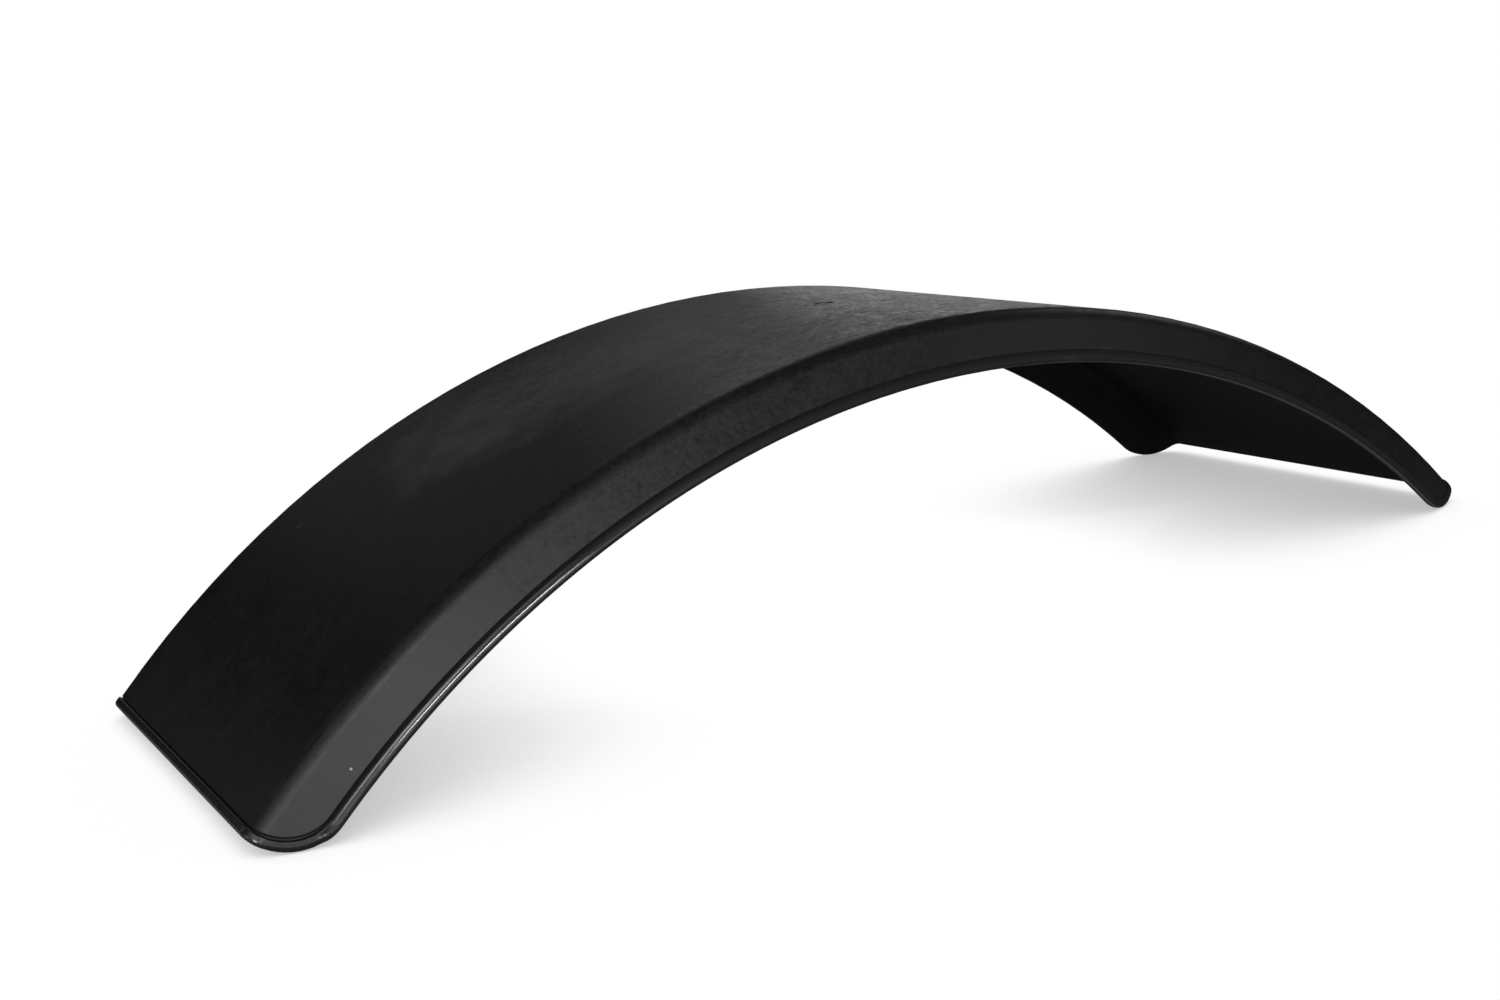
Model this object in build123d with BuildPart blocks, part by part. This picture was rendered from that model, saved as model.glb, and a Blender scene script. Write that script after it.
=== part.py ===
from build123d import *
import math
import os

# ---------------------------------------------------------------- dimensions
# all lengths in millimetres, all angles in degrees

# arch, seen from the side
crown_radius = 625.0        # radius of the outer top surface about the arch axis
half_angle = 46.12          # each end lies this far round the arch from the crown
end_corner_radius = 32.5    # rounding of each apron's lower corners

# wall section, the same all along the arch
wall = 3.8                  # wall thickness
sharp_half_width = 141.8    # half width where the top and apron planes would meet
shoulder_radius = 12.4      # outer rounding between the top and each apron
apron_flare = 25.6          # apron leans out this far from the radial direction

# rim bead, a raised edge that runs all the way round the outside
groove_depth = 26.0         # radial depth, below the top, of the bead's upper edge
bead_height = 6.5           # radial height of the bead on the aprons
bead_proud = 2.82           # how far its crest stands off the aprons
bead_front_radius = 5.8     # its front is rounded to this radius
bead_crest_place = 33.2     # distance of the crest down the apron
bead_blend_place = 29.4     # where the front meets the hollow that leads into it
bead_hollow_radius = 1.5    # that hollow, only left standing in the end lips
end_lip_proud = 1.5         # how far it stands off the top, across both ends
end_lip_width = 5.8         # its width there, along the arch
crest_round_inner = 0.8     # rounding of the edge of the bead that faces the channel
crest_round_outer = 2.6     # rounding of the free edge
inner_edge_round = 0.8      # rounding of the rim's edge on the inner side

# shallow channel that sets the bead off from the top and the aprons
channel_width = 1.2
channel_depth = 1.0
channel_round_floor = 0.4   # rounding of the corners of its floor

# moulding gate mark on the top, close to the crown
gate_place = 8.5            # distance along the top, towards the right end
gate_dish_diameter = 13.0
gate_dish_depth = 0.5
gate_stub_diameter = 4.0
gate_stub_height = 0.4      # above the floor of the dish

# ---------------------------------------------------------------- derived
total_depth = groove_depth + bead_height        # radial depth of the whole side
rim_radius = crown_radius - total_depth         # lower edge of the aprons
groove_radius = crown_radius - groove_depth
flare = math.radians(apron_flare)
alpha = math.radians(half_angle)

# the lowest point of a rounded corner is under the centre of its rounding;
# the arch axis is placed so that this point is at Z = 0
corner_centre_radius = rim_radius + end_corner_radius
corner_centre_angle = alpha - math.asin(end_corner_radius / corner_centre_radius)
axis_z = -(corner_centre_radius * math.cos(corner_centre_angle) - end_corner_radius)
arch_axis = Axis((0, 0, axis_z), (0, 1, 0))

# sections are drawn just past the left end, on a plane through the arch axis,
# and swept past the right end; the side outline then trims both ends
over_run = 1.5
start = math.radians(-(half_angle + over_run))
section_plane = Plane(
    origin=(0, 0, axis_z),
    x_dir=(0, 1, 0),
    z_dir=(math.cos(start), 0, -math.sin(start)),
)
sweep_angle = 2 * (half_angle + over_run)
section_foot = total_depth + 4.0                # sections reach below the rim


def side_point(radius, angle, origin_z):
    """Point at a radius and angle about the arch axis, in the XZ plane."""
    return (radius * math.sin(angle), origin_z + radius * math.cos(angle))


def half_section(offset_top, offset_side, radius):
    """Right half of a section line: the crown point, the shoulder's two tangent
    points with a point between them, and the foot.  offset_top and offset_side
    move the top and the apron outwards from the wall's outer face."""
    top_r = crown_radius + offset_top
    # apron line: y = sharp_half_width + depth * tan(flare) + offset / cos(flare)
    def apron_y(r):
        return sharp_half_width + (crown_radius - r) * math.tan(flare) + offset_side / math.cos(flare)

    corner_y = apron_y(top_r)
    tangent = radius * math.tan((math.pi / 2 - flare) / 2)
    centre = (corner_y - tangent, top_r - radius)
    sweep_a = math.pi / 2 - flare

    def on_arc(a):
        return (centre[0] + radius * math.sin(a), centre[1] + radius * math.cos(a))

    foot_r = crown_radius - section_foot
    return {
        "crown": (0.0, top_r),
        "t1": on_arc(0.0),
        "tm": on_arc(sweep_a / 2),
        "t2": on_arc(sweep_a),
        "foot": (apron_y(foot_r), foot_r),
    }


def flip(p):
    return (-p[0], p[1])


def skin_offset(p):
    """How far a point stands outside the wall's outer face."""
    r = math.hypot(p.X, p.Z - axis_z)
    y = abs(p.Y)
    tangent_y = sharp_half_width - shoulder_radius * math.tan((math.pi / 2 - flare) / 2)
    dy, dr = y - tangent_y, r - (crown_radius - shoulder_radius)
    if dy <= 0:
        return r - crown_radius
    if math.atan2(dy, dr) <= math.pi / 2 - flare:
        return math.hypot(dy, dr) - shoulder_radius
    return (y - sharp_half_width - (crown_radius - r) * math.tan(flare)) * math.cos(flare)


def outline_gap(p, radius, end_angle, corner):
    """How far inside a side outline a point lies: a lower arc of the given
    radius, radial ends at the given angle, and rounded corners."""
    r = math.hypot(p.X, p.Z - axis_z)
    t = abs(math.atan2(p.X, p.Z - axis_z))
    c_radius = radius + corner
    c_angle = end_angle - math.asin(corner / c_radius)
    if t >= c_angle and r <= math.sqrt(c_radius**2 - corner**2):
        dx = r * math.sin(t) - c_radius * math.sin(c_angle)
        dz = r * math.cos(t) - c_radius * math.cos(c_angle)
        return corner - math.hypot(dx, dz)
    return min(r - radius, r * math.sin(end_angle - t))


inner = half_section(-wall, -wall, shoulder_radius - wall)
outer = half_section(0.0, 0.0, shoulder_radius)

# front of the bead, in distances down the apron and off its outer face: a
# straight run, a hollow, then the rounded front
blend_slope = math.asin((bead_crest_place - bead_blend_place) / bead_front_radius)
bead_blend_off = bead_proud - bead_front_radius * (1 - math.cos(blend_slope))
hollow_start = bead_blend_place - bead_hollow_radius * math.sin(blend_slope)
side_lip_proud = bead_blend_off - bead_hollow_radius * (1 - math.cos(blend_slope))
under_slope = math.radians(38.0)
under_place = bead_crest_place + bead_front_radius * math.sin(under_slope)
under_off = bead_proud - bead_front_radius * (1 - math.cos(under_slope))


def apron_point(place, off):
    """Section point at a distance down the apron and off its outer face."""
    return (
        sharp_half_width + place * math.sin(flare) + off * math.cos(flare),
        crown_radius - place * math.cos(flare) + off * math.sin(flare),
    )


front = {
    "start": apron_point(hollow_start, side_lip_proud),
    "hollow": apron_point(
        hollow_start + bead_hollow_radius * math.sin(blend_slope / 2),
        side_lip_proud + bead_hollow_radius * (1 - math.cos(blend_slope / 2)),
    ),
    "blend": apron_point(bead_blend_place, bead_blend_off),
    "crest": apron_point(bead_crest_place, bead_proud),
    "under": apron_point(under_place, under_off),
    "foot": apron_point(under_place + 2.6, under_off - 2.6 * math.tan(under_slope)),
}
crest = half_section(end_lip_proud, side_lip_proud, shoulder_radius + end_lip_proud)
clear = half_section(15.0, 15.0, shoulder_radius + 15.0)
channel_floor = half_section(-channel_depth, -channel_depth, shoulder_radius - channel_depth)
channel_roof = half_section(0.4, 0.4, shoulder_radius + 0.4)

# ---------------------------------------------------------------- pocket
# everything outside the wall's outer face, inside the rim bead; it is taken
# out of a solid as thick as the bead, and leaves the bead standing
with BuildPart() as pocket:
    with BuildSketch(section_plane) as pocket_section:
        with BuildLine():
            Line(flip(clear["t1"]), clear["t1"])
            ThreePointArc(clear["t1"], clear["tm"], clear["t2"])
            Line(clear["t2"], clear["foot"])
            Line(clear["foot"], outer["foot"])
            Line(outer["foot"], outer["t2"])
            ThreePointArc(outer["t2"], outer["tm"], outer["t1"])
            Line(outer["t1"], flip(outer["t1"]))
            ThreePointArc(flip(outer["t1"]), flip(outer["tm"]), flip(outer["t2"]))
            Line(flip(outer["t2"]), flip(outer["foot"]))
            Line(flip(outer["foot"]), flip(clear["foot"]))
            Line(flip(clear["foot"]), flip(clear["t2"]))
            ThreePointArc(flip(clear["t2"]), flip(clear["tm"]), flip(clear["t1"]))
        make_face()
    revolve(axis=arch_axis, revolution_arc=sweep_angle)

    # side outline of the pocket: the rim's, moved in by the bead's width
    pocket_alpha = alpha - end_lip_width / crown_radius
    pocket_corner = end_corner_radius - bead_height
    with BuildSketch(Plane.XZ) as pocket_outline:
        with BuildLine():
            ThreePointArc(
                side_point(groove_radius, -pocket_alpha, axis_z),
                side_point(groove_radius, 0, axis_z),
                side_point(groove_radius, pocket_alpha, axis_z),
            )
            Line(side_point(groove_radius, pocket_alpha, axis_z), side_point(crown_radius + 40, pocket_alpha, axis_z))
            ThreePointArc(
                side_point(crown_radius + 40, pocket_alpha, axis_z),
                side_point(crown_radius + 40, 0, axis_z),
                side_point(crown_radius + 40, -pocket_alpha, axis_z),
            )
            Line(side_point(crown_radius + 40, -pocket_alpha, axis_z), side_point(groove_radius, -pocket_alpha, axis_z))
        make_face()
        fillet(pocket_outline.vertices().group_by(Axis.Y)[0], pocket_corner)
    extrude(amount=400, both=True, mode=Mode.INTERSECT)

# ---------------------------------------------------------------- channel
# a narrow band just inside the bead, cut a little into the wall; its outer side
# is flush with the pocket's, and the same outline moved in makes its inner side
inset_radius = groove_radius + channel_width
inset_alpha = pocket_alpha - channel_width / crown_radius
inset_corner = pocket_corner - channel_width
with BuildPart() as channel:
    with BuildSketch(section_plane) as channel_section:
        with BuildLine():
            Line(flip(channel_roof["t1"]), channel_roof["t1"])
            ThreePointArc(channel_roof["t1"], channel_roof["tm"], channel_roof["t2"])
            Line(channel_roof["t2"], channel_roof["foot"])
            Line(channel_roof["foot"], channel_floor["foot"])
            Line(channel_floor["foot"], channel_floor["t2"])
            ThreePointArc(channel_floor["t2"], channel_floor["tm"], channel_floor["t1"])
            Line(channel_floor["t1"], flip(channel_floor["t1"]))
            ThreePointArc(flip(channel_floor["t1"]), flip(channel_floor["tm"]), flip(channel_floor["t2"]))
            Line(flip(channel_floor["t2"]), flip(channel_floor["foot"]))
            Line(flip(channel_floor["foot"]), flip(channel_roof["foot"]))
            Line(flip(channel_roof["foot"]), flip(channel_roof["t2"]))
            ThreePointArc(flip(channel_roof["t2"]), flip(channel_roof["tm"]), flip(channel_roof["t1"]))
        make_face()
    revolve(axis=arch_axis, revolution_arc=sweep_angle)
    with BuildSketch(Plane.XZ) as channel_outline:
        with BuildLine():
            ThreePointArc(
                side_point(groove_radius, -pocket_alpha, axis_z),
                side_point(groove_radius, 0, axis_z),
                side_point(groove_radius, pocket_alpha, axis_z),
            )
            Line(side_point(groove_radius, pocket_alpha, axis_z), side_point(crown_radius + 40, pocket_alpha, axis_z))
            ThreePointArc(
                side_point(crown_radius + 40, pocket_alpha, axis_z),
                side_point(crown_radius + 40, 0, axis_z),
                side_point(crown_radius + 40, -pocket_alpha, axis_z),
            )
            Line(side_point(crown_radius + 40, -pocket_alpha, axis_z), side_point(groove_radius, -pocket_alpha, axis_z))
        make_face()
        fillet(channel_outline.vertices().group_by(Axis.Y)[0], pocket_corner)
    extrude(amount=400, both=True, mode=Mode.INTERSECT)
    with BuildSketch(Plane.XZ) as inset_outline:
        with BuildLine():
            ThreePointArc(
                side_point(inset_radius, -inset_alpha, axis_z),
                side_point(inset_radius, 0, axis_z),
                side_point(inset_radius, inset_alpha, axis_z),
            )
            Line(side_point(inset_radius, inset_alpha, axis_z), side_point(crown_radius + 45, inset_alpha, axis_z))
            ThreePointArc(
                side_point(crown_radius + 45, inset_alpha, axis_z),
                side_point(crown_radius + 45, 0, axis_z),
                side_point(crown_radius + 45, -inset_alpha, axis_z),
            )
            Line(side_point(crown_radius + 45, -inset_alpha, axis_z), side_point(inset_radius, -inset_alpha, axis_z))
        make_face()
        fillet(inset_outline.vertices().group_by(Axis.Y)[0], inset_corner)
    extrude(amount=400, both=True, mode=Mode.SUBTRACT)

# ---------------------------------------------------------------- moulding
with BuildPart() as mudguard_shell:
    # flat top, rounded shoulders and flared aprons, from the inner face out to
    # the crest of the bead
    with BuildSketch(section_plane) as shell_section:
        with BuildLine():
            Line(flip(crest["t1"]), crest["t1"])
            ThreePointArc(crest["t1"], crest["tm"], crest["t2"])
            Line(crest["t2"], front["start"])
            ThreePointArc(front["start"], front["hollow"], front["blend"])
            ThreePointArc(front["blend"], front["crest"], front["under"])
            Line(front["under"], front["foot"])
            Line(front["foot"], inner["foot"])
            Line(inner["foot"], inner["t2"])
            ThreePointArc(inner["t2"], inner["tm"], inner["t1"])
            Line(inner["t1"], flip(inner["t1"]))
            ThreePointArc(flip(inner["t1"]), flip(inner["tm"]), flip(inner["t2"]))
            Line(flip(inner["t2"]), flip(inner["foot"]))
            Line(flip(inner["foot"]), flip(front["foot"]))
            Line(flip(front["foot"]), flip(front["under"]))
            ThreePointArc(flip(front["under"]), flip(front["crest"]), flip(front["blend"]))
            ThreePointArc(flip(front["blend"]), flip(front["hollow"]), flip(front["start"]))
            Line(flip(front["start"]), flip(crest["t2"]))
            ThreePointArc(flip(crest["t2"]), flip(crest["tm"]), flip(crest["t1"]))
        make_face()
    revolve(axis=arch_axis, revolution_arc=sweep_angle)

    # side outline: radial ends, rounded lower corners
    with BuildSketch(Plane.XZ) as side_outline:
        with BuildLine():
            ThreePointArc(
                side_point(rim_radius, -alpha, axis_z),
                side_point(rim_radius, 0, axis_z),
                side_point(rim_radius, alpha, axis_z),
            )
            Line(side_point(rim_radius, alpha, axis_z), side_point(crown_radius + 25, alpha, axis_z))
            ThreePointArc(
                side_point(crown_radius + 25, alpha, axis_z),
                side_point(crown_radius + 25, 0, axis_z),
                side_point(crown_radius + 25, -alpha, axis_z),
            )
            Line(side_point(crown_radius + 25, -alpha, axis_z), side_point(rim_radius, -alpha, axis_z))
        make_face()
        fillet(side_outline.vertices().group_by(Axis.Y)[0], end_corner_radius)
    extrude(amount=400, both=True, mode=Mode.INTERSECT)

    add(pocket.part, mode=Mode.SUBTRACT)
    add(channel.part, mode=Mode.SUBTRACT)

    # the bead's crest is rounded along its free edge and along the channel, the
    # rim's edge on the inner side is eased, and so are the channel's corners
    free_edges = mudguard_shell.edges().filter_by(
        lambda e: skin_offset(e.position_at(0.5)) > 0.8
        and abs(outline_gap(e.position_at(0.5), rim_radius, alpha, end_corner_radius)) < 0.05
    )
    fillet(free_edges, crest_round_outer)
    groove_edges = mudguard_shell.edges().filter_by(
        lambda e: skin_offset(e.position_at(0.5)) > side_lip_proud - 0.04
        and abs(outline_gap(e.position_at(0.5), groove_radius, pocket_alpha, pocket_corner)) < 0.05
    )
    fillet(groove_edges, crest_round_inner)
    inner_edges = mudguard_shell.edges().filter_by(
        lambda e: skin_offset(e.position_at(0.5)) < -wall + 0.2
        and abs(outline_gap(e.position_at(0.5), rim_radius, alpha, end_corner_radius)) < 0.05
    )
    fillet(inner_edges, inner_edge_round)
    floor_edges = mudguard_shell.edges().filter_by(
        lambda e: abs(skin_offset(e.position_at(0.5)) + channel_depth) < 0.05
    )
    fillet(floor_edges, channel_round_floor)

    # gate mark: a shallow dish with a low stub, on the centre line of the top
    gate_angle = gate_place / crown_radius

    def gate_plane(depth):
        x, z = side_point(crown_radius - depth, gate_angle, axis_z)
        return Plane(
            origin=(x, 0, z),
            x_dir=(math.cos(gate_angle), 0, -math.sin(gate_angle)),
            z_dir=(math.sin(gate_angle), 0, math.cos(gate_angle)),
        )

    with BuildSketch(gate_plane(gate_dish_depth)) as dish:
        Circle(gate_dish_diameter / 2)
    extrude(amount=5, mode=Mode.SUBTRACT)
    with BuildSketch(gate_plane(gate_dish_depth + 1.0)) as stub:
        Circle(gate_stub_diameter / 2)
    extrude(amount=1.0 + gate_stub_height)

print("rounded edges", len(free_edges), len(groove_edges), len(inner_edges), len(floor_edges))
print("solids", len(mudguard_shell.part.solids()), "valid", mudguard_shell.part.is_valid)
print("volume mm3", round(mudguard_shell.part.volume))
box = mudguard_shell.part.bounding_box()
print("box", box.min, box.max, "axis z", round(axis_z, 3))

os.makedirs("parts", exist_ok=True)
mudguard_shell.part.label = "mudguard_shell"
export_step(mudguard_shell.part, "parts/mudguard_shell.step")
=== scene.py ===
import bpy
import math
from mathutils import Matrix, Vector

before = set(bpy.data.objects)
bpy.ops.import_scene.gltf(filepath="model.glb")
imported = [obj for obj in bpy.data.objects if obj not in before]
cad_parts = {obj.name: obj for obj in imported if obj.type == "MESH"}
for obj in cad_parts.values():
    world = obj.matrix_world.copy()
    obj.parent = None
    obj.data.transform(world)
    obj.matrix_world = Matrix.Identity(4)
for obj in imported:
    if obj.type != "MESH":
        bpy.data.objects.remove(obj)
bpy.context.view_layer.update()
scene = bpy.context.scene
scene.view_settings.view_transform = "Standard"
scene.view_settings.look = "None"

# ---------------------------------------------------------------- sizes, metres
AXIS_Z = -0.423559          # height of the arch axis
CROWN_R = 0.625             # radius of the top about it
RIM_R = 0.5925              # free edge
HALF_ANGLE = math.radians(46.12)
CORNER_R = 0.0325           # rounding of the lower corners
HALF_W = 0.1418             # half width where the top and apron planes would meet
FLARE = math.radians(25.6)  # lean of the aprons
SKIN_ROUGH = 0.42
BEAD_ROUGH = 0.40
CREST = 0.0318              # crest of the film's round front: distance down the apron
CREST_OFF = 0.00282         # and off the apron's outer face
FRONT_R = 0.0058            # radius of that front
BEAD_GLOSS = 0.09           # roughness of the polished film on the bead
BLACK = 0.009
GATE = 0.0085               # place of the gate mark along the top
# marks: along the arch, across it, turned by degrees, half length, half width, radius
SCRATCH = (-0.3482, 0.0950, 8.0, 0.0040, 0.0005)
SPECK = (-0.4449, -0.1513, 0.0, 0.0008, 0.0004, 0.6051)

# ---------------------------------------------------------------- camera
IMAGE_W = 1500
FOCAL_PX = 1838.686
yaw, pitch, roll = 0.527674, -0.230076, -0.097841
forward = Vector((math.sin(yaw) * math.cos(pitch), math.cos(yaw) * math.cos(pitch), math.sin(pitch)))
level = Vector((math.cos(yaw), -math.sin(yaw), 0.0))
upright = level.cross(forward)
side = math.cos(roll) * level + math.sin(roll) * upright
top = -math.sin(roll) * level + math.cos(roll) * upright
cam_data = bpy.data.cameras.new("camera")
cam_data.sensor_fit = "HORIZONTAL"
cam_data.sensor_width = 36.0
cam_data.lens = 36.0 * FOCAL_PX / IMAGE_W
cam_data.clip_start, cam_data.clip_end = 0.05, 60.0
cam = bpy.data.objects.new("camera", cam_data)
cam.matrix_world = Matrix((
    (side.x, top.x, -forward.x, -0.650314),
    (side.y, top.y, -forward.y, -1.009967),
    (side.z, top.z, -forward.z, 0.356114),
    (0.0, 0.0, 0.0, 1.0),
))
scene.collection.objects.link(cam)
scene.camera = cam


# ---------------------------------------------------------------- node helpers
class Nodes:
    """Short calls for building a node tree."""

    def __init__(self, tree):
        self.tree = tree
        tree.nodes.clear()

    def add(self, kind, **inputs):
        node = self.tree.nodes.new(kind)
        for name, value in inputs.items():
            if hasattr(node, name) and name not in node.inputs:
                setattr(node, name, value)
        return node

    def feed(self, socket, value):
        if isinstance(value, bpy.types.NodeSocket):
            self.tree.links.new(value, socket)
        else:
            socket.default_value = value

    def math(self, operation, a, b=0.0, c=0.0, clamp=False):
        node = self.tree.nodes.new("ShaderNodeMath")
        node.operation = operation
        node.use_clamp = clamp
        for i, value in enumerate((a, b, c)):
            self.feed(node.inputs[i], value)
        return node.outputs[0]

    def ramp(self, value, low, high, at_low, at_high):
        """Smooth step from one value to another."""
        node = self.tree.nodes.new("ShaderNodeMapRange")
        node.interpolation_type = "SMOOTHSTEP"
        for name, v in (("Value", value), ("From Min", low), ("From Max", high), ("To Min", at_low), ("To Max", at_high)):
            self.feed(node.inputs[name], v)
        return node.outputs[0]

    def noise(self, vector, scale, detail, rough):
        node = self.tree.nodes.new("ShaderNodeTexNoise")
        node.noise_dimensions = "3D"
        self.feed(node.inputs["Vector"], vector)
        node.inputs["Scale"].default_value = scale
        node.inputs["Detail"].default_value = detail
        node.inputs["Roughness"].default_value = rough
        return node.outputs[0]


# ---------------------------------------------------------------- material
def moulded_plastic():
    """Satin black plastic: fine grain on the top and aprons, a glossier bead,
    flow marks round the gate, faint scuffs and one scratch."""
    mat = bpy.data.materials.new("black_moulded_plastic")
    mat.use_nodes = True
    n = Nodes(mat.node_tree)
    out = n.add("ShaderNodeOutputMaterial")
    bsdf = n.add("ShaderNodeBsdfPrincipled")
    n.tree.links.new(bsdf.outputs[0], out.inputs["Surface"])
    bsdf.inputs["IOR"].default_value = 1.49
    bsdf.inputs["Coat Roughness"].default_value = BEAD_GLOSS
    bsdf.inputs["Coat IOR"].default_value = 1.5

    # place on the unrolled arch: along it, across it, and outwards
    split = n.add("ShaderNodeSeparateXYZ")
    n.feed(split.inputs[0], n.add("ShaderNodeTexCoord").outputs["Object"])
    x, y = split.outputs[0], split.outputs[1]
    rise = n.math("SUBTRACT", split.outputs[2], AXIS_Z)
    radius = n.math("SQRT", n.math("ADD", n.math("MULTIPLY", x, x), n.math("MULTIPLY", rise, rise)))
    angle = n.math("ARCTAN2", x, rise)
    along = n.math("MULTIPLY", angle, CROWN_R)
    join = n.add("ShaderNodeCombineXYZ")
    for i, value in enumerate((along, y, radius)):
        n.feed(join.inputs[i], value)
    unrolled = join.outputs[0]

    # how far inside the rim's outline, and from that the bead
    gap_side = n.math("SUBTRACT", radius, RIM_R)
    gap_end = n.math("MULTIPLY", radius, n.math("SINE", n.math("SUBTRACT", HALF_ANGLE, n.math("ABSOLUTE", angle))))
    ua = n.math("MAXIMUM", n.math("SUBTRACT", CORNER_R, gap_side), 0.0)
    ub = n.math("MAXIMUM", n.math("SUBTRACT", CORNER_R, gap_end), 0.0)
    hyp = n.math("SQRT", n.math("ADD", n.math("MULTIPLY", ua, ua), n.math("MULTIPLY", ub, ub)))
    gap = n.math("SUBTRACT", CORNER_R, hyp)

    # the outer side only: how far a point stands off the wall's outer face
    off_top = n.math("SUBTRACT", radius, CROWN_R)
    off_apron = n.math("SUBTRACT", n.math("ABSOLUTE", y), HALF_W)
    off_apron = n.math("MULTIPLY", n.math("MULTIPLY_ADD", off_top, math.tan(FLARE), off_apron), math.cos(FLARE))
    outside = n.ramp(n.math("MAXIMUM", off_top, off_apron), -0.0031, -0.0025, 0.0, 1.0)
    bead = n.math("MULTIPLY", outside, n.ramp(gap, 0.0058, 0.0064, 1.0, 0.0))
    # the channel above the bead: its colour is darkened there as painted shade in the crease, and it is made rougher
    channel_painted_shade = n.math("MULTIPLY", n.ramp(gap, 0.0059, 0.0064, 0.0, 1.0), n.ramp(gap, 0.0073, 0.0079, 1.0, 0.0))
    channel_painted_shade = n.math("MULTIPLY", channel_painted_shade, outside)

    # painted highlight: the lower edge of the bead is painted paler on the right half
    painted_edge_highlight = n.math("MULTIPLY", n.ramp(gap, 0.0003, 0.0008, 1.0, 0.0), n.ramp(along, -0.02, 0.06, 0.0, 1.0))
    painted_edge_highlight = n.math("MULTIPLY", painted_edge_highlight, outside)

    # away from the left end the bead is dull, and its colour is painted darker than the skin's as painted shade
    dull_and_painted_shade = n.math("MULTIPLY", bead, n.ramp(along, -0.30, -0.12, 0.0, 1.0))
    # where it turns round a lower corner
    turn_in = n.ramp(n.math("MINIMUM", ua, ub), 0.001, 0.012, 0.0, 1.0)

    # broad cloudiness of the moulded skin, and its fine grain
    cloud = n.noise(unrolled, 34.0, 3.0, 0.55)
    patch = n.noise(unrolled, 9.0, 2.0, 0.5)
    grain = n.noise(unrolled, 1500.0, 2.0, 0.6)
    pebble = n.noise(unrolled, 330.0, 3.0, 0.7)
    mottle = n.noise(unrolled, 120.0, 3.0, 0.6)

    # on the top they fade towards the left end and are strongest past the crown
    on_top = n.ramp(off_top, -0.0030, -0.0003, 0.0, 1.0)
    change = n.math("MULTIPLY_ADD", on_top, n.ramp(along, -0.42, -0.02, -0.30, 0.35), 1.0)
    pebble = n.math("MULTIPLY_ADD", n.math("SUBTRACT", pebble, 0.5), change, 0.5)
    mottle = n.math("MULTIPLY_ADD", n.math("SUBTRACT", mottle, 0.5), n.math("MULTIPLY_ADD", on_top, 0.6, n.math("SUBTRACT", change, 0.6)), 0.5)

    # flow marks: streaks that run out from the gate, strongest near it
    from_gate = n.math("SUBTRACT", along, GATE)
    reach = n.math("SQRT", n.math("ADD", n.math("MULTIPLY", from_gate, from_gate), n.math("MULTIPLY", y, y)))
    turn = n.math("ARCTAN2", y, from_gate)
    polar = n.add("ShaderNodeCombineXYZ")
    n.feed(polar.inputs[0], n.math("MULTIPLY", turn, 5.0))
    n.feed(polar.inputs[1], n.math("MULTIPLY", reach, 9.0))
    streak = n.noise(polar.outputs[0], 3.4, 4.0, 0.62)
    near_gate = n.ramp(reach, 0.02, 0.34, 1.0, 0.0)
    broken = n.ramp(streak, 0.30, 0.70, 0.70, 1.25)
    streak = n.math("MULTIPLY", n.math("SUBTRACT", streak, 0.5), n.math("MULTIPLY", near_gate, on_top))

    # faint scuffs: long thin marks in two directions, only in places
    def scuffs(turned, scale, offset):
        mapping = n.add("ShaderNodeMapping")
        n.feed(mapping.inputs["Vector"], unrolled)
        mapping.inputs["Location"].default_value = (offset, 0.0, 0.0)
        mapping.inputs["Rotation"].default_value = (0.0, 0.0, math.radians(turned))
        mapping.inputs["Scale"].default_value = scale
        marks = n.noise(mapping.outputs[0], 1.0, 2.0, 0.5)
        return n.ramp(marks, 0.69, 0.76, 0.0, 1.0)

    scuff = n.math("MAXIMUM", scuffs(12, (14.0, 520.0, 14.0), 3.1), scuffs(-38, (22.0, 620.0, 22.0), 7.7))
    scuff = n.math("MULTIPLY", scuff, n.ramp(patch, 0.5, 0.66, 0.0, 1.0))

    # one short pale scratch on the top and one speck on the near apron
    def mark(at_along, at_across, turned, half_length, half_width, at_radius=CROWN_R):
        da = n.math("SUBTRACT", along, at_along)
        dy = n.math("SUBTRACT", y, at_across)
        c, s = math.cos(math.radians(turned)), math.sin(math.radians(turned))
        u = n.math("ADD", n.math("MULTIPLY", da, c), n.math("MULTIPLY", dy, s))
        v = n.math("SUBTRACT", n.math("MULTIPLY", dy, c), n.math("MULTIPLY", da, s))
        u = n.math("DIVIDE", u, half_length)
        v = n.math("DIVIDE", v, half_width)
        w = n.math("DIVIDE", n.math("SUBTRACT", radius, at_radius), 0.003)
        q = n.math("ADD", n.math("MULTIPLY", u, u), n.math("MULTIPLY", v, v))
        q = n.math("ADD", q, n.math("MULTIPLY", w, w))
        return n.ramp(q, 0.45, 1.0, 1.0, 0.0)

    scratch = mark(*SCRATCH)
    speck = mark(*SPECK)

    # fine dust lies thinly on the whole skin, and a pale haze on the top, left of
    # the crown, with another round the gate
    dust = n.ramp(n.noise(unrolled, 420.0, 1.0, 0.5), 0.74, 0.80, 0.0, 1.0)

    def haze(at_along, at_across, half_length, half_width):
        u = n.math("DIVIDE", n.math("SUBTRACT", along, at_along), half_length)
        v = n.math("DIVIDE", n.math("SUBTRACT", y, at_across), half_width)
        q = n.math("ADD", n.math("MULTIPLY", u, u), n.math("MULTIPLY", v, v))
        q = n.math("MULTIPLY_ADD", n.math("SUBTRACT", cloud, 0.5), 2.2, q)
        return n.math("MULTIPLY", n.math("MULTIPLY", n.ramp(q, -0.2, 1.7, 1.0, 0.0), broken), outside)

    bloom = n.math("MULTIPLY_ADD", haze(-0.190, 0.040, 0.100, 0.075), 0.039, n.math("MULTIPLY", haze(GATE, 0.0, 0.075, 0.050), 0.024))

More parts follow.
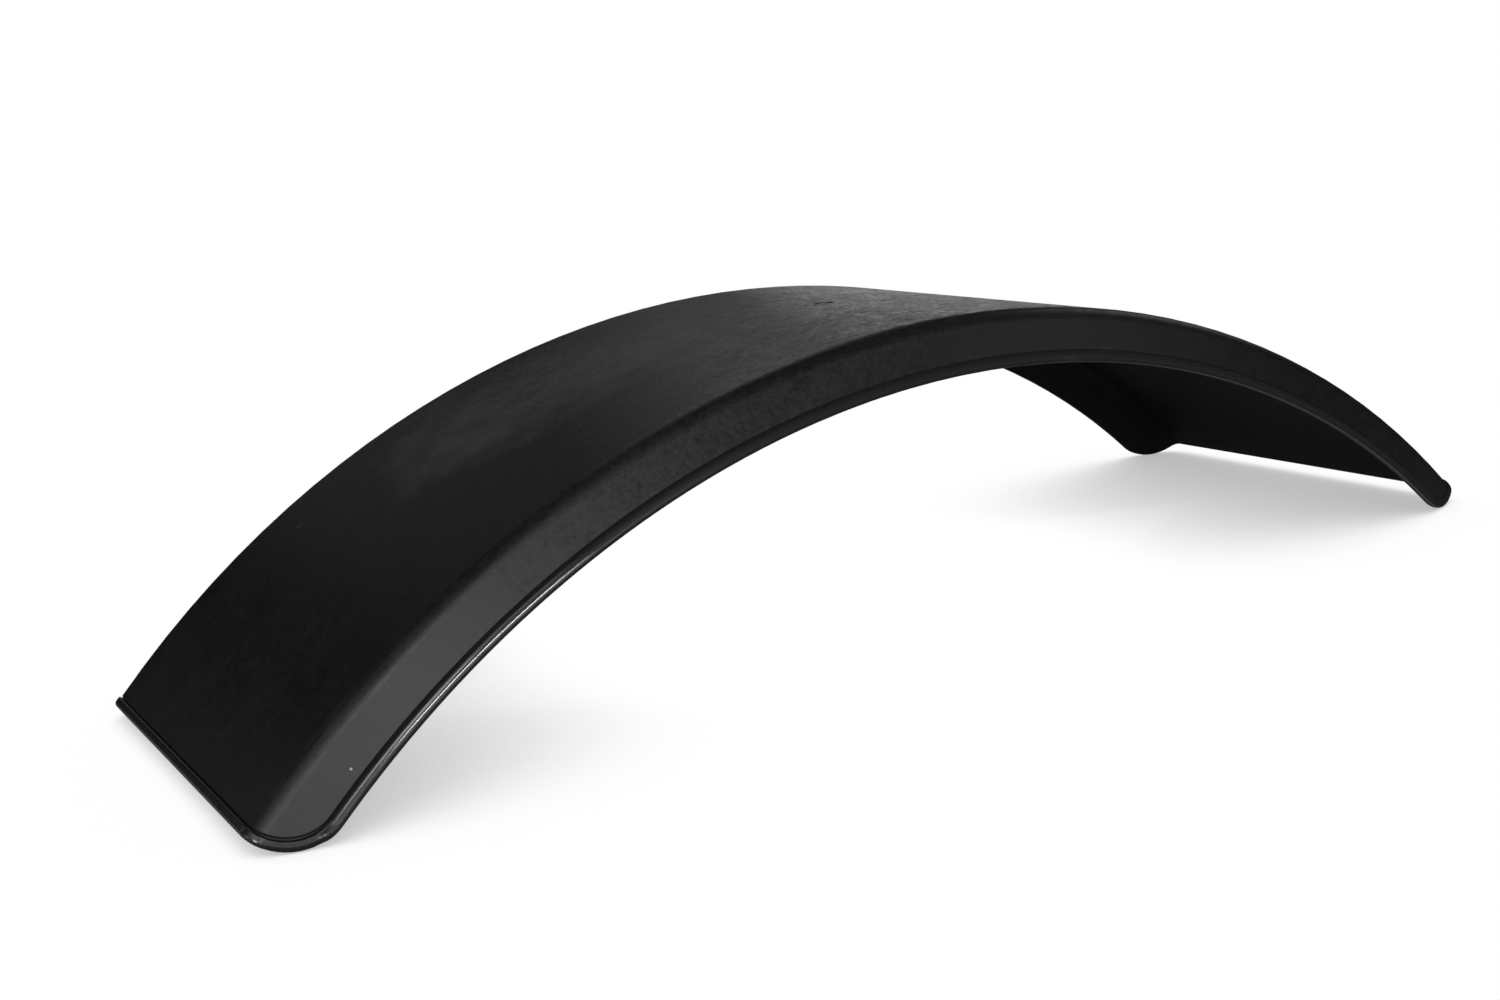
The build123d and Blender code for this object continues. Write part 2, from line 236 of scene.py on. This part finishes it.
    # roughness: the skin's, its cloudiness and streaks round that, and the bead's
    rough = n.math("MULTIPLY_ADD", n.math("SUBTRACT", cloud, 0.5), 0.16, SKIN_ROUGH)
    rough = n.math("MULTIPLY_ADD", n.math("SUBTRACT", patch, 0.5), 0.08, rough)
    rough = n.math("MULTIPLY_ADD", streak, 0.22, rough)
    rough = n.math("MULTIPLY_ADD", n.math("SUBTRACT", grain, 0.5), 0.05, rough)
    rough = n.math("MULTIPLY_ADD", n.math("SUBTRACT", pebble, 0.5), 0.36, rough)
    rough = n.math("MULTIPLY_ADD", n.math("SUBTRACT", mottle, 0.5), 0.22, rough)
    rough = n.math("ADD", n.math("MULTIPLY", rough, n.math("SUBTRACT", 1.0, bead)),
                   n.math("MULTIPLY", bead, n.math("MULTIPLY_ADD", n.math("SUBTRACT", cloud, 0.5), 0.06, n.math("MULTIPLY_ADD", turn_in, -0.07, n.math("MULTIPLY_ADD", dull_and_painted_shade, 0.40, BEAD_ROUGH)))))
    rough = n.math("MULTIPLY_ADD", scuff, 0.12, rough)
    rough = n.math("MULTIPLY_ADD", channel_painted_shade, 0.6, rough)
    rough = n.math("MULTIPLY_ADD", scratch, 0.25, rough, clamp=True)
    n.feed(bsdf.inputs["Roughness"], rough)
    # the bead is rubbed to a gloss towards the left end
    gloss = n.math("MULTIPLY_ADD", n.math("SUBTRACT", patch, 0.5), 0.1, n.ramp(along, -0.315, -0.262, 1.0, -0.05), clamp=True)
    n.feed(bsdf.inputs["Coat Weight"], n.math("MULTIPLY", n.math("MULTIPLY", bead, gloss), n.math("SUBTRACT", 1.0, turn_in)))

    # the film shines as an evenly round front does, not as the mesh's flat facets
    beyond = n.math("SUBTRACT", n.math("ABSOLUTE", y), HALF_W)
    down = n.math("SUBTRACT", n.math("MULTIPLY", beyond, math.sin(FLARE)), n.math("MULTIPLY", off_top, math.cos(FLARE)))
    ds = n.math("SUBTRACT", down, CREST)
    do = n.math("ADD", off_apron, FRONT_R - CREST_OFF)
    across = n.math("ADD", n.math("MULTIPLY", ds, math.sin(FLARE)), n.math("MULTIPLY", do, math.cos(FLARE)))
    across = n.math("MULTIPLY", across, n.math("SIGN", y))
    outward = n.math("SUBTRACT", n.math("MULTIPLY", do, math.sin(FLARE)), n.math("MULTIPLY", ds, math.cos(FLARE)))
    front = n.add("ShaderNodeCombineXYZ")
    n.feed(front.inputs[0], n.math("MULTIPLY", outward, n.math("SINE", angle)))
    n.feed(front.inputs[1], across)
    n.feed(front.inputs[2], n.math("MULTIPLY", outward, n.math("COSINE", angle)))
    to_world = n.add("ShaderNodeVectorTransform", vector_type="NORMAL", convert_from="OBJECT", convert_to="WORLD")
    n.feed(to_world.inputs[0], front.outputs[0])
    unit = n.add("ShaderNodeVectorMath", operation="NORMALIZE")
    n.feed(unit.inputs[0], to_world.outputs[0])
    blend = n.add("ShaderNodeMix", data_type="VECTOR")
    n.feed(blend.inputs[0], n.ramp(down, 0.0275, 0.0285, 0.0, 1.0))
    n.feed(blend.inputs[4], n.add("ShaderNodeNewGeometry").outputs["Normal"])
    n.feed(blend.inputs[5], unit.outputs[0])
    n.feed(bsdf.inputs["Coat Normal"], blend.outputs[1])

    # colour: black, a little uneven, paler in scuffs, dust and the scratch, with painted shade in the channel and on
    # the dull bead and a painted highlight on the bead's lower edge
    shade = n.math("MULTIPLY_ADD", n.math("SUBTRACT", cloud, 0.5), 0.35 * BLACK, BLACK)
    shade = n.math("MULTIPLY_ADD", n.math("SUBTRACT", patch, 0.5), 0.30 * BLACK, shade)
    shade = n.math("MULTIPLY_ADD", n.math("SUBTRACT", pebble, 0.5), 1.0 * BLACK, shade)
    shade = n.math("MULTIPLY_ADD", n.math("SUBTRACT", mottle, 0.5), 0.8 * BLACK, shade)
    shade = n.math("MULTIPLY_ADD", streak, 0.6 * BLACK, shade)
    shade = n.math("ADD", shade, bloom)
    # painted shade: the colour in the channel is darkened almost to black
    shade = n.math("MULTIPLY", shade, n.math("MULTIPLY_ADD", channel_painted_shade, -0.95, 1.0))
    # painted shade: the colour of the dull part of the bead is darkened
    shade = n.math("MULTIPLY", shade, n.math("MULTIPLY_ADD", dull_and_painted_shade, -0.7, 1.0))
    # painted highlight along the bead's lower edge
    shade = n.math("MULTIPLY_ADD", painted_edge_highlight, 0.080, shade)
    shade = n.math("MULTIPLY_ADD", scuff, 0.010, shade)
    shade = n.math("MULTIPLY_ADD", dust, 0.010, shade)
    shade = n.math("MULTIPLY_ADD", scratch, 0.10, shade)
    shade = n.math("MULTIPLY_ADD", speck, 0.30, shade)
    tone = n.add("ShaderNodeCombineColor")
    n.feed(tone.inputs[0], shade)
    n.feed(tone.inputs[1], shade)
    n.feed(tone.inputs[2], n.math("MULTIPLY", shade, 1.03))
    n.feed(bsdf.inputs["Base Color"], tone.outputs[0])

    # relief: grain, slow unevenness of the moulding, and the flow streaks
    height = n.math("MULTIPLY", grain, n.math("MULTIPLY_ADD", bead, -0.000004, 0.000006))
    height = n.math("MULTIPLY_ADD", pebble, 0.00004, height)
    height = n.math("MULTIPLY_ADD", mottle, 0.00005, height)
    height = n.math("MULTIPLY_ADD", cloud, 0.00002, height)
    height = n.math("MULTIPLY_ADD", patch, 0.00008, height)
    height = n.math("MULTIPLY_ADD", streak, 0.00006, height)
    height = n.math("MULTIPLY_ADD", scuff, -0.000006, height)
    height = n.math("MULTIPLY", height, n.math("MULTIPLY_ADD", bead, -0.85, 1.0))
    bump = n.add("ShaderNodeBump")
    bump.inputs["Strength"].default_value = 1.0
    bump.inputs["Distance"].default_value = 1.0
    n.feed(bump.inputs["Height"], height)
    n.feed(bsdf.inputs["Normal"], bump.outputs[0])
    return mat


plastic = moulded_plastic()
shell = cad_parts["mudguard_shell"]
shell.data.materials[0] = plastic

# ---------------------------------------------------------------- stage
# a round pale floor with no visible edge: the camera sees it evenly lit, with a painted soft
# shadow, taken from ambient occlusion, where the guard stands on it; what the object sees of it is darker,
# as in a studio with a lit backdrop, and it isn't shown from below, where the
# inner side of the arch is looked at
floor_mesh = bpy.data.meshes.new("floor")
ring = [(30 * math.cos(math.tau * i / 128), 30 * math.sin(math.tau * i / 128), 0.0) for i in range(128)]
floor_mesh.from_pydata(ring, [], [tuple(range(128))])
floor = bpy.data.objects.new("floor", floor_mesh)
scene.collection.objects.link(floor)
floor_mat = bpy.data.materials.new("pale_floor")
floor_mat.use_nodes = True
n = Nodes(floor_mat.node_tree)
out = n.add("ShaderNodeOutputMaterial")
paint = n.add("ShaderNodeBsdfDiffuse")
paint.inputs["Color"].default_value = (0.35, 0.35, 0.35, 1.0)
covered = n.add("ShaderNodeAmbientOcclusion")
covered.samples = 12
covered.inputs["Distance"].default_value = 0.16
glow = n.add("ShaderNodeEmission")
glow.inputs["Color"].default_value = (1.0, 1.0, 1.0, 1.0)
# painted shadow: the floor's glow is dimmed where ambient occlusion finds the guard close by
n.feed(glow.inputs["Strength"], n.ramp(covered.outputs["AO"], 0.0, 0.95, 0.45, 1.0))
rays = n.add("ShaderNodeLightPath")
seen = n.add("ShaderNodeMixShader")
n.tree.links.new(rays.outputs["Is Camera Ray"], seen.inputs[0])
n.tree.links.new(paint.outputs[0], seen.inputs[1])
n.tree.links.new(glow.outputs[0], seen.inputs[2])
clear = n.add("ShaderNodeBsdfTransparent")
facing = n.add("ShaderNodeNewGeometry")
sheet = n.add("ShaderNodeMixShader")
n.tree.links.new(facing.outputs["Backfacing"], sheet.inputs[0])
n.tree.links.new(seen.outputs[0], sheet.inputs[1])
n.tree.links.new(clear.outputs[0], sheet.inputs[2])
n.tree.links.new(sheet.outputs[0], out.inputs["Surface"])
floor_mesh.materials.append(floor_mat)

# ---------------------------------------------------------------- light
world = bpy.data.worlds.new("studio")
scene.world = world
world.use_nodes = True
n = Nodes(world.node_tree)
out = n.add("ShaderNodeOutputWorld")
sky = n.add("ShaderNodeBackground")
sky.inputs["Color"].default_value = (1.0, 1.0, 1.0, 1.0)
rays = n.add("ShaderNodeLightPath")
n.feed(sky.inputs["Strength"], rays.outputs["Is Camera Ray"])
n.tree.links.new(sky.outputs[0], out.inputs["Surface"])

# softboxes: azimuth, elevation (azimuth 0 is the near side, 270 the left end),
# distance, width and height in metres, watts; the first is a strip
SOFTBOXES = (
    (0, 8, 3.0, 1.3, 0.26, 33.1),
    (20, 8, 3.0, 1.0, 1.0, 1.0),
    (40, 8, 3.0, 1.0, 1.0, 1.0),
    (260, 8, 3.0, 1.0, 1.0, 2.8),
    (300, 8, 3.0, 1.0, 1.0, 13.2),
    (320, 8, 3.0, 1.0, 1.0, 3.2),
    (300, 14, 3.0, 1.0, 1.0, 12.8),
    (290, 27, 3.0, 1.0, 1.0, 1.6),
    (330, 27, 3.0, 1.0, 1.0, 12.2),
    (50, 27, 3.0, 1.0, 1.0, 1.5),
    (270, 42, 3.0, 1.35, 1.35, 1.8),
    (330, 42, 3.0, 1.35, 1.35, 5.7),
    (140, 8, 3.0, 1.0, 1.0, 2.6),
    (180, 14, 3.0, 1.0, 1.0, 0.5),
    (220, 14, 3.0, 1.0, 1.0, 0.5),
    (110, 27, 3.0, 1.0, 1.0, 2.5),
    (150, 27, 3.0, 1.0, 1.0, 1.0),
    (160, 42, 3.0, 1.35, 1.35, 2.7),
)
aim = Vector((0.0, 0.0, 0.1))
for i, (azimuth, elevation, distance, width, height, watts) in enumerate(SOFTBOXES):
    a, e = math.radians(azimuth), math.radians(elevation)
    lamp = bpy.data.lights.new(f"softbox_{i}", "AREA")
    lamp.shape = "ELLIPSE" if width == height else "RECTANGLE"
    lamp.size, lamp.size_y = width, height
    lamp.energy = watts
    box = bpy.data.objects.new(f"softbox_{i}", lamp)
    box.location = aim + distance * Vector((math.sin(a) * math.cos(e), -math.cos(a) * math.cos(e), math.sin(e)))
    box.rotation_mode = "QUATERNION"
    box.rotation_quaternion = (aim - box.location).to_track_quat("-Z", "Y")
    scene.collection.objects.link(box)

# light that comes up under the arch, as from a lit floor
lamp = bpy.data.lights.new("under_arch", "AREA")
lamp.shape = "RECTANGLE"
lamp.size, lamp.size_y = 0.60, 0.16
lamp.energy = 0.05
box = bpy.data.objects.new("under_arch", lamp)
box.location = (0.0, -0.03, 0.004)
box.rotation_euler = (math.pi, 0.0, 0.0)
box.visible_camera = False
scene.collection.objects.link(box)
